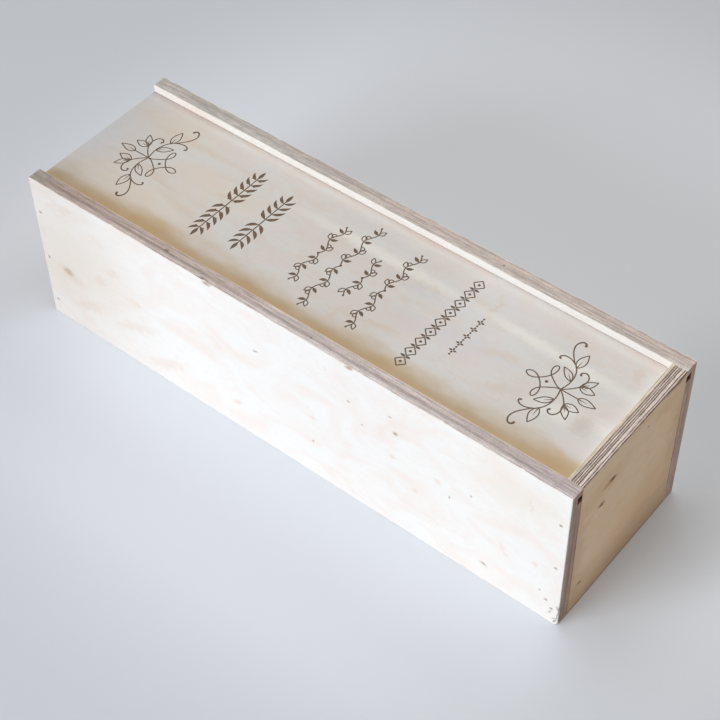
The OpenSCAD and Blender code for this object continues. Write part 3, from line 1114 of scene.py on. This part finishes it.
def side_board(node, side, faces, chips, seed):
    """Builds one side board; the section is listed anticlockwise, seen from its +X end.
    The front one has extra rows low on its face, where its corner is worn."""
    worn = side == "front"
    rows = np.array(SIDE_CORNERS + (LOW_CORNERS if worn else []))
    section, slots = rows[:, :2], rows[:, 2:4].astype(int)
    easing, roaming, rounding = rows[:, 4:].T
    along, inset = stations(side_low[0], side_high[0], SIDE_SOFTENING, SIDE_SPACING)
    count = len(section)
    places = along[:, None] + np.arange(count)[None] * SIDE_SHIFT
    ease = easing + roaming * roam(places, 6.0, 1.7, seed)
    ease[:, TOP_ARRIS] += chipped(along, chips)
    outer, inner, outward = (TOP_ARRIS, 0), (1, 2), -1.0
    if side == "back":
        section = section[::-1] * (-1.0, 1.0)
        ease = ease[:, ::-1]
        slots = np.stack([slots[::-1, 0], np.roll(slots[::-1, 1], -1)], 1)
        rounding = np.roll(rounding[::-1], -1)
        outer, inner, outward = (count - 1, 0), (count - 3, count - 2), 1.0
    last = len(along) - 1
    outer_stations, inner_stations = (CLEAR, last - WORN_CLEAR), (CLEAR, last - CLEAR)
    shell = Shell()
    open_flats = [(outer, outer_stations), (inner, inner_stations)]
    grid = sweep(shell, section, along, ease, inset[:, None] * rounding, slots, open_flats)
    if worn:
        wear_corner(shell)
    face_out = np.array([0.0, outward, 0.0])
    holes = []
    for end in ("low", "tall"):
        place, heights = brad_places(side, end)
        for height in heights:
            mouth = (place, outward * OUTER_Y, height)
            holes.append(drill(shell, mouth, face_out, SIDE_STEPS, FACE))
    mouths, feet = [rings[0] for rings in holes], [rings[-1] for rings in holes]
    patch(shell, border(grid, outer, outer_stations), face_out, FACE, mouths)
    patch(shell, border(grid, inner, inner_stations), -face_out, INSIDE, feet)
    caps(shell, grid, END)
    return shell.make(node, faces, "box", "side_ply")


FRONT_FACES = [front_face, inner_face, front_edge, front_end, front_groove]
BACK_FACES = [back_face, inner_face, back_edge, back_end, back_groove]
side_board("front_board", "front", FRONT_FACES, FRONT_CHIPS, seed=11)
side_board("back_board", "back", BACK_FACES, BACK_CHIPS, seed=21)

# %% [markdown]
# ## The end boards
#
# The end boards stand between the side boards. The tall one closes the fixed end, and its
# upper edge, where saw and sander met seven plies, is the most telling edge of the box:
# glue lines are a little lower than the wood, and the outer veneer has torn along its
# arris. The low one stops under the lid, which slides out over it.

# %% End boards
GLUE_HALF = 0.13
GLUE_DEPTH = 0.14
CROSS_DEPTH = 0.05
END_SOFTENING, END_SPACING = 0.25, 0.8
PLY_EASE, FOOT_EASE = 0.04, 0.3
TOP_EASE, TOP_ROAMING = 0.22, 0.1
WORN_EASE, WORN_LIMITS = 0.3, (0.12, 0.55)
WITHIN, WITHOUT, PLIES = range(3)


def ply_steps(outer_x, toward, top):
    """Corners along a top edge, from the inner face to the outer: at each glue line the
    edge dips into a small V, and the crossed sheets lie a little lower. The outermost line
    has no V, because the worn arris takes its place."""
    rows = []
    for number in range(len(GLUE_LINES) - 1, 0, -1):
        place = outer_x + toward * GLUE_LINES[number]
        inner_low, outer_low = (CROSS_DEPTH, 0.0) if number % 2 else (0.0, CROSS_DEPTH)
        rows.append((top - inner_low, place + toward * GLUE_HALF))
        rows.append((top - GLUE_DEPTH, place))
        rows.append((top - outer_low, place - toward * GLUE_HALF))
    return rows


def end_board(node, end, box, materials, seed, torn):
    """Builds one end board along Y; its section is (z, x), and brads enter both ends."""
    low, high = box
    top = high[2]
    tall = end == "tall"
    rows = ply_steps(high[0], -1.0, top) if tall else ply_steps(low[0], 1.0, top)[::-1]
    section = [(0.0, low[0]), (top, low[0]), *rows, (top, high[0]), (0.0, high[0])]
    count = len(section)
    left, right = (WITHIN, WITHOUT) if tall else (WITHOUT, WITHIN)
    slots = [(left, left), (left, PLIES)] + [(PLIES, PLIES)] * (count - 4)
    slots += [(PLIES, right), (right, PLIES)]
    along, inset = stations(low[1], high[1], END_SOFTENING, END_SPACING)
    ease = np.full((len(along), count), PLY_EASE)
    ease[:, 0] = ease[:, -1] = FOOT_EASE
    worn, other = (count - 2, 1) if tall else (1, count - 2)
    ease[:, other] = TOP_EASE + TOP_ROAMING * wander(along, 3.0, seed)
    ragged = WORN_EASE + torn * roam(along, 2.6, 0.9, seed + 1)
    ease[:, worn] = np.clip(ragged, *WORN_LIMITS)
    shell = Shell()
    grid = sweep(shell, section, along, ease, inset, slots)
    for side, sign, ring in (("front", -1.0, grid[0][::-1]), ("back", 1.0, grid[-1])):
        place, heights = brad_places(side, end)
        facing = np.array([sign, 0.0, 0.0])
        mouths = []
        for height in heights:
            mouth, foot = drill(shell, (sign * INNER_Y, height, place), facing, END_STEPS, PLIES)
            shell.add_faces(foot[None], PLIES)
            mouths.append(mouth)
        patch(shell, ring, facing, PLIES, mouths)
    return shell.make(node, materials, "box", "end_ply", (2, 0, 1))


TALL_FACES = [inner_face, tall_end_face, tall_edge]
LOW_FACES = [inner_face, low_end_face, low_edge]
end_board("tall_end_board", "tall", (tall_low, tall_high), TALL_FACES, seed=41, torn=0.3)
end_board("low_end_board", "low", (low_end_low, low_end_high), LOW_FACES, seed=51, torn=0.1)

# %% [markdown]
# ## The bottom
#
# A thin panel glued in between the four boards, flush with their lower edges. It is the
# plainest piece: one section carried along X.

# %% Bottom panel
SHEET, RIM, TIP, SUNK = range(4)
SLAB_SLOTS = [(SHEET, SHEET), (SHEET, RIM)] * 2
SLAB_TOP = (2, 3)
SLAB_SHIFT = 53.0


def slab(low, high, softening, spacing, easing, seed, open_top=False):
    """A flat sheet as a shell, and the ring round its top. Its section is listed from the
    lower front corner."""
    corners = [(low[1], low[2]), (high[1], low[2]), (high[1], high[2]), (low[1], high[2])]
    along, inset = stations(low[0], high[0], softening, spacing)
    places = along[:, None] + np.arange(4)[None] * SLAB_SHIFT
    ease = easing * (1.0 + 0.35 * wander(places, 4.0, seed))
    shell = Shell()
    middle = (CLEAR, len(along) - 1 - CLEAR)
    open_flats = [(SLAB_TOP, middle)] if open_top else []
    grid = sweep(shell, corners, along, ease, inset, SLAB_SLOTS, open_flats)
    caps(shell, grid, TIP)
    return shell, border(grid, SLAB_TOP, middle)


bottom, _ = slab(bottom_low, bottom_high, softening=0.2, spacing=4.0, easing=0.2, seed=61)
bottom.make("bottom_panel", [bottom_face, bottom_edge, bottom_edge], "box", "bottom_ply")

# %% [markdown]
# ## Drawing the ornament
#
# The lid carries leaf and tendril sprays at both ends and bands of leaves between them,
# all burnt in with a line about half a millimetre wide. Every mark is a stroke: a smooth
# line through a few points, with a width that may change along it. A stroke is cut into
# small triangles, which the lid will be cut along.

# %% Strokes
LINE = 0.34


def smooth(points, steps=7):
    """A Catmull-Rom curve: between points b and c it is
    (2b + (c-a)t + (2a-5b+4c-d)t^2 + (3b-a-3c+d)t^3) / 2, for t from 0 to 1."""
    points = np.asarray(points, float)
    closed = np.allclose(points[0], points[-1]) and len(points) > 3
    head = points[-2] if closed else 2 * points[0] - points[1]
    tail = points[1] if closed else 2 * points[-1] - points[-2]
    padded = np.vstack([head, points, tail])
    a, b, c, d = (padded[k : len(padded) - 3 + k, None] for k in range(4))
    t = np.linspace(0.0, 1.0, steps, endpoint=False)[None, :, None]
    cubic = 2 * b + (c - a) * t + (2 * a - 5 * b + 4 * c - d) * t**2 + (3 * b - a - 3 * c + d) * t**3
    return np.vstack([cubic.reshape(-1, 2) / 2, points[-1]])


def stroke(axis, half_width):
    """Triangles that cover a line; the half width is a number or one for each point."""
    ahead = np.gradient(axis, axis=0)
    ahead /= np.linalg.norm(ahead, axis=1, keepdims=True) + 1e-9
    side = np.stack([-ahead[:, 1], ahead[:, 0]], 1) * np.broadcast_to(half_width, len(axis))[:, None]
    count = len(axis)
    row = np.arange(count - 1)
    cells = np.stack([row + count, row + count + 1, row + 1, row + count, row + 1, row], 1)
    return np.vstack([axis + side, axis - side]), cells.reshape(-1, 3)


def tendril(points, width=LINE, swell=1.0, blob=0.0):
    """A stroke whose width changes by `swell` towards its end, where it may have a drop."""
    axis = smooth(points)
    share = np.linspace(0.0, 1.0, len(axis)) ** 2
    marks = [stroke(axis, width * (1.0 + (swell - 1.0) * share))]
    if blob:
        marks.append(dot(axis[-1], blob))
    return marks


def dot(centre, radius):
    """A disc, as a short stroke whose half width is the height of the circle."""
    angle = np.linspace(0.06, np.pi - 0.06, 9)
    axis = np.asarray(centre, float) + np.stack([-np.cos(angle), np.zeros(9)], 1) * radius
    return stroke(axis, np.sin(angle) * radius)


print("strokes ready, line", 2 * LINE, "mm wide")

# %% [markdown]
# ## Leaves
#
# A leaf is a pointed oval on a bent axis. Drawn open, it is two thin strokes that meet at
# its tip, with a short rib; drawn solid, it is one stroke as wide as the leaf. Helpers
# set marks down on the lid and mirror them.

# %% Leaves
def leaf(base, tip, belly, bow=0.0, solid=False, rib=0.55, width=LINE, full=0.85):
    """A leaf from base to tip. Its axis bows sideways as a parabola, and its half width
    is belly * sin(pi * t^full) at share t: fuller near the base, with a fine tip."""
    base, tip = np.asarray(base, float), np.asarray(tip, float)
    t = np.linspace(0.0, 1.0, 15)
    ahead = tip - base
    side = np.array([-ahead[1], ahead[0]]) / np.linalg.norm(ahead)
    axis = base + t[:, None] * ahead + (4 * bow * t * (1 - t))[:, None] * side
    half = belly * np.sin(np.pi * t**full)
    if solid:
        return [stroke(axis, np.maximum(half, 0.05))]
    marks = [stroke(axis + (half * sign)[:, None] * side, width * 0.92) for sign in (-1, 1)]
    if rib:
        marks.append(stroke(axis[: int(15 * rib)], np.linspace(width, 0.08, int(15 * rib))))
    return marks


def placed(marks, origin, flip_u=1.0, flip_v=1.0):
    """Marks drawn as (u, v), set down on the lid at `origin`, mirrored if asked."""
    flip, origin = np.array([flip_u, flip_v]), np.asarray(origin, float)
    return [(points * flip + origin, cells) for points, cells in marks]


def both(marks):
    """Marks and their mirror image across the line v = 0."""
    return marks + placed(marks, (0.0, 0.0), 1.0, -1.0)


print("leaves ready")

# %% [markdown]
# ## The sprays
#
# A spray grows out of one knot: two long stems swing to the sides, three short sprigs
# point to the end of the box, and a looped knot faces its middle. Half of it is drawn and
# mirrored.

# %% Spray
def spray():
    """One spray in mm, round its knot: u points to the end of the box, v across it."""
    stem = [(0, 0), (1.0, 3.6), (1.36, 7.2), (1.0, 10.8), (-0.2, 14.4), (-2.4, 17.4), (-4.1, 18.7)]
    half = tendril(stem)
    hook = [(-4.1, 18.7), (-6.3, 21.3), (-8.6, 24.4), (-10.0, 27.6), (-10.1, 30.4)]
    hook += [(-8.9, 32.6), (-7.4, 33.2), (-6.2, 32.5), (-5.9, 31.6)]
    half += tendril(hook, LINE, 1.9, 0.75)
    hook = [(-3.4, 18.1), (-5.6, 19.4), (-8.1, 20.1), (-10.6, 19.9), (-12.2, 18.7), (-12.3, 17.5)]
    half += tendril([*hook, (-11.6, 17.2)], LINE, 1.5, 0.6)
    half += leaf((1.2, 7.3), (-6.9, 13.5), 1.95, -0.4)
    half += leaf((-1.6, 16.3), (-1.0, 27.4), 2.35, 0.12)
    half += tendril([(0, 0), (2.3, 1.9), (4.4, 4.0), (6.4, 6.5)])
    hook = [(6.4, 6.5), (6.9, 7.9), (7.8, 10.8), (7.6, 13.6), (6.3, 15.7), (4.5, 16.4), (2.9, 15.6)]
    half += tendril([*hook, (2.5, 14.4), (3.0, 13.8)], LINE, 1.5, 0.62)
    half += leaf((6.6, 7.2), (15.5, 7.1), 2.25, -0.2)
    half += leaf((6.9, 7.7), (12.7, 14.9), 1.85, -0.3)
    loop = [(0, 0), (-2.4, 0.6), (-5.6, 2.6), (-8.9, 5.1), (-10.4, 7.4), (-10.8, 9.7)]
    loop += [(-10.3, 11.5), (-9.3, 12.1), (-8.4, 11.5), (-7.9, 9.7), (-8.1, 7.3), (-8.9, 5.0)]
    loop += [(-10.6, 2.4), (-13.1, 0.0), (-15.1, -1.35), (-17.5, -1.9), (-19.6, -1.15), (-20.4, 0.0)]
    half += tendril(loop)
    marks = both(half)
    marks += tendril([(0, 0), (5.0, 0.03), (10.4, 0)])
    marks += leaf((10.3, 0.0), (20.7, 0.0), 2.2, full=0.7)
    marks.append(dot((-8.3, 0.0), 0.9))
    return marks


print("spray of", len(spray()), "strokes")

# %% [markdown]
# ## Laurels and vines
#
# Between the sprays lie bands across the lid. The strong ones are laurels, with solid
# leaves in pairs, and the light ones are running vines. Both grow by a pitch, so a band
# can have any length, and both are mirrored about the lid's middle.

# %% Laurels and vines
LAUREL_PITCH, LAUREL_LEAF, LAUREL_BELLY = 5.2, 7.6, 1.1
LAUREL_OUT, LAUREL_ALONG, LAUREL_TAPER = 0.74, 0.72, 0.25
VINE_SWING, VINE_BELLY, VINE_BOW = 3.0, 1.15, 0.55


def laurel(half, berries):
    """A strong band along v: slender leaves in pairs on a stem, pointing outwards."""
    marks = []
    count = int((half - 5.0) / LAUREL_PITCH)
    for k in range(count):
        v = LAUREL_PITCH * (k + 0.5)
        grow = 1.0 - LAUREL_TAPER * (k / count) ** 2
        for sign in (-1, 1):
            tip = (sign * LAUREL_LEAF * LAUREL_OUT * grow, v + LAUREL_LEAF * LAUREL_ALONG * grow)
            marks += leaf((sign * 0.2, v), tip, LAUREL_BELLY * grow, -sign * 0.9, solid=True)
            if berries:
                marks.append(dot((sign * 2.6, v + LAUREL_PITCH * 0.02), 0.5))
    marks += leaf((0.0, half - 7.0), (0.0, half), LAUREL_BELLY, solid=True)
    marks += tendril([(0, 0), (0.0, half * 0.5), (0, half - 5.0)], 0.36, 0.8)
    return both(marks)


def vine(half, wave=8.0):
    """A light band along v: a waving stem, with a leaf in each bend and a small curl."""
    count = max(int(round(half / wave)), 1)
    step = half / count
    v = np.linspace(0.0, half, count * 8 + 1)
    stem = np.stack([VINE_SWING * VINE_BOW * np.sin(np.pi * v / step), v], 1)
    marks = [stroke(stem, LINE)]
    for k in range(count):
        sign = 1.0 if k % 2 == 0 else -1.0
        middle, low = step * (k + 0.5), step * k
        crest = sign * VINE_SWING * VINE_BOW
        open_leaf = (crest, middle), (crest + sign * 2.2, middle + 3.9)
        full_leaf = (crest * 0.8, middle - 0.4), (-sign * 2.6, middle + 1.8)
        marks += leaf(*open_leaf, VINE_BELLY, -sign * 0.35, rib=0.0)
        marks += leaf(*full_leaf, VINE_BELLY * 0.9, sign * 0.3, solid=True)
        if k:
            curl = [(0.0, low), (-sign * 1.6, low + 0.5), (-sign * 2.6, low - 0.5)]
            marks += tendril([*curl, (-sign * 2.0, low - 1.6)], LINE * 0.9, 1.2, 0.55)
    marks.append(dot((0.0, half + 0.4), 0.6))
    return both(marks) + [dot((0.0, 0.0), 0.8)]


print("laurels and vines ready")

# %% [markdown]
# ## Lozenges and beads
#
# The two last bands are plainer: a chain of open lozenges, and a small row of beads and
# flowers in turn.

# %% Lozenges and beads
LOZENGE_PITCH, LOZENGE_WIDE = 8.4, 3.4
BEAD_PITCH = 3.0


def lozenges(half):
    """A chain of open lozenges along v with a bead in each and small leaves between."""
    marks = []
    count = int(half / LOZENGE_PITCH)
    long, wide = LOZENGE_PITCH * 0.42, LOZENGE_WIDE
    for k in range(-count, count + 1):
        v = k * LOZENGE_PITCH
        turns = np.array([(0, v - long), (wide, v), (0, v + long), (-wide, v), (0, v - long)])
        for a, b in zip(turns[:-1], turns[1:]):
            marks.append(stroke(np.linspace(a, b, 4), LINE))
        marks.append(dot((0.0, v), 0.8))
        between = v + LOZENGE_PITCH * 0.5
        for sign in (-1, 1) if k < count else ():
            marks += leaf((0.0, between), (sign * wide * 0.95, between), 0.75, solid=True)
    return marks


def beads(half):
    """A small row along v of beads and four-petalled flowers in turn."""
    marks = []
    count = int(half / BEAD_PITCH)
    for k in range(-count, count + 1):
        v = k * BEAD_PITCH
        if k % 2:
            marks.append(dot((0.0, v), 0.6))
            continue
        for du, dv in ((1, 0), (-1, 0), (0, 1), (0, -1)):
            marks += leaf((0.25 * du, v + 0.25 * dv), (2.4 * du, v + 2.1 * dv), 0.6, solid=True)
    return marks


print("lozenges and beads ready")

# %% [markdown]
# ## Setting the ornament out
#
# Each spray and band is set down at its own place, in millimetres from the middle of the
# box. A flip of -1 turns its front to the left.

# %% Ornament
ornament = []
for marks, x, y, flip in (
    (spray(), -143.5, 1.3, -1.0),
    (spray(), 136.0, 1.3, 1.0),
    (laurel(31.5, berries=True), -83.0, 1.0, 1.0),
    (laurel(26.5, berries=False), -58.6, 1.0, 1.0),
    (vine(24.0), -19.5, 1.5, 1.0),
    (vine(35.0, 8.8), -4.0, 1.3, -1.0),
    (vine(15.6), 10.7, 1.2, 1.0),
    (vine(32.0), 25.7, 1.2, -1.0),
    (lozenges(35.0), 62.2, 1.0, 1.0),
    (beads(15.6), 78.6, 1.4, 1.0),
):
    ornament += placed(marks, (x, y), flip)
print(f"ornament: {len(ornament)} strokes, {sum(len(c) for _, c in ornament)} triangles")

# %% [markdown]
# ## The lid
#
# The lid is a sheet of three plies. Its top face is one flat patch of triangles, cut
# along the outlines of every stroke. Where strokes cross or curl, their triangles
# overlap, and the patch counts each spot once; for that, they must all be turned the same
# way. All that lies inside a stroke is lowered by a quarter of a millimetre, and walls
# join the two levels, so the burnt lines are real grooves and not paint.

# %% Lid
BURN_DEPTH = 0.25
FLATTEST = 1e-6
starts = np.cumsum([0] + [len(points) for points, _ in ornament[:-1]])
line_points = np.vstack([points for points, _ in ornament])
line_cells = np.vstack([cells + start for (_, cells), start in zip(ornament, starts)])
first, second, third = (line_points[line_cells[:, corner]] for corner in range(3))
sense = np.linalg.det(np.stack([second - first, third - first], 1))
line_cells[sense < 0] = line_cells[sense < 0][:, ::-1]
line_cells = line_cells[np.abs(sense) > FLATTEST]

lid, lid_ring = slab(
    lid_low, lid_high, softening=0.3, spacing=3.0, easing=0.25, seed=71, open_top=True
)
patch(lid, lid_ring, (0.0, 0.0, 1.0), SHEET, (), (line_points, line_cells), BURN_DEPTH, SUNK)
lid.make("sliding_lid", [lid_face, lid_edge, lid_end, burnt], "lid", "lid_ply")

# %% [markdown]
# ## The room behind
#
# Seen from low down, the far table would run into darkness, because the lamps don't reach
# it. So the room behind is one pale grey, and the table fades to the same grey. Both are
# only for the eye: light rays still meet the real table and the real room, because the
# shader asks what kind of ray has hit it.

# %% Backdrop
PALE_GREY = (0.60, 0.615, 0.63, 1.0)


def eye_rays(tree):
    """1 for rays from the eye and for what it sees in metal or glass, 0 for other light."""
    rays = put(tree, "LightPath").outputs
    mirrored = calc(tree, "MAXIMUM", rays["Is Glossy Ray"], rays["Is Transmission Ray"])
    return calc(tree, "MAXIMUM", rays["Is Camera Ray"], mirrored)


def blend(tree, share, near, far, end):
    """Mixes two shaders by a share and sends the result to the tree's output."""
    mixed = put(tree, "MixShader", None, i0=share, i1=near.outputs[0], i2=far.outputs[0])
    tree.links.new(mixed.outputs[0], tree.nodes[end].inputs["Surface"])


backdrop = put(world.node_tree, "Background", None, Color=PALE_GREY)
blend(world.node_tree, eye_rays(world.node_tree), room, backdrop, "World Output")

print("backdrop ready")

# %% [markdown]
# ## The table
#
# The box stands on a pale, smooth table, which isn't part of the box. Its paint helps the
# light: it is a little paler round the box than further out, as under a window, paler
# again at the foot of the front, whose bright wood throws light back, and darker beside
# the right end, which shades it.

# %% Table
TABLE_REACH = 4.0
TABLE_COLOUR = (0.698, 0.726, 0.773)
FADE = (0.6, 1.25)
POOL_CENTRE = (0.016, 0.105, 0.0)
POOL_EDGE, POOL_TONES = (0.21, 0.36), (1.06, 0.89)
GLOW_START, GLOW_STOP, GLOW_ENDS = (-0.120, -0.045), (-0.035, -0.050), (0.215, 0.165)
GLOW = 0.2
FOOT_SHADE = [(0.203, 0.035, 0.085, 0.042, 71.0), (0.178, 0.110, 0.100, 0.055, 115.0)]
SHADE_DEPTH = 0.14

table_mesh = bpy.data.meshes.new("table")
signs = ((-1, -1), (1, -1), (1, 1), (-1, 1))
table_corners = [(TABLE_REACH * x, TABLE_REACH * y, 0.0) for x, y in signs]
table_mesh.from_pydata(table_corners, [], [(0, 1, 2, 3)])
table = bpy.data.objects.new("table", table_mesh)
bpy.context.scene.collection.objects.link(table)
table_paint = bpy.data.materials.new("table_paint")
table_paint.use_nodes = True
tree = table_paint.node_tree
place = put(tree, "TexCoord").outputs["Object"]
axes = put(tree, "SeparateXYZ", i0=place).outputs
tone = ease_range(tree, vector_calc(tree, "DISTANCE", place, POOL_CENTRE), *POOL_EDGE, *POOL_TONES)
glow = ease_range(tree, axes["Y"], *GLOW_START, 0.0, GLOW)
glow = calc(tree, "MULTIPLY", glow, ease_range(tree, axes["Y"], *GLOW_STOP))
glow = calc(tree, "MULTIPLY", glow, ease_range(tree, calc(tree, "ABSOLUTE", axes["X"]), *GLOW_ENDS))
tone = calc(tree, "MULTIPLY_ADD", tone, glow, tone)
shade = calc(tree, "MULTIPLY_ADD", spots(tree, place, FOOT_SHADE), -SHADE_DEPTH, 1.0)
tone = calc(tree, "MULTIPLY", tone, shade)
paper = put(tree, "VectorMath", {"operation": "SCALE"}, i0=TABLE_COLOUR, Scale=tone)
paint = tree.nodes["Principled BSDF"]
fill(tree, paint, {"Base Color": paper.outputs[0], "Roughness": 0.6})
far = ease_range(tree, vector_calc(tree, "LENGTH", place), *FADE)
haze = put(tree, "Emission", None, Color=PALE_GREY)
blend(tree, calc(tree, "MULTIPLY", far, eye_rays(tree)), paint, haze, "Material Output")
table_paint.cycles.emission_sampling = "NONE"
table_mesh.materials.append(table_paint)
print(f"table {2 * TABLE_REACH:.0f} m wide, fading from {FADE[0]} m")
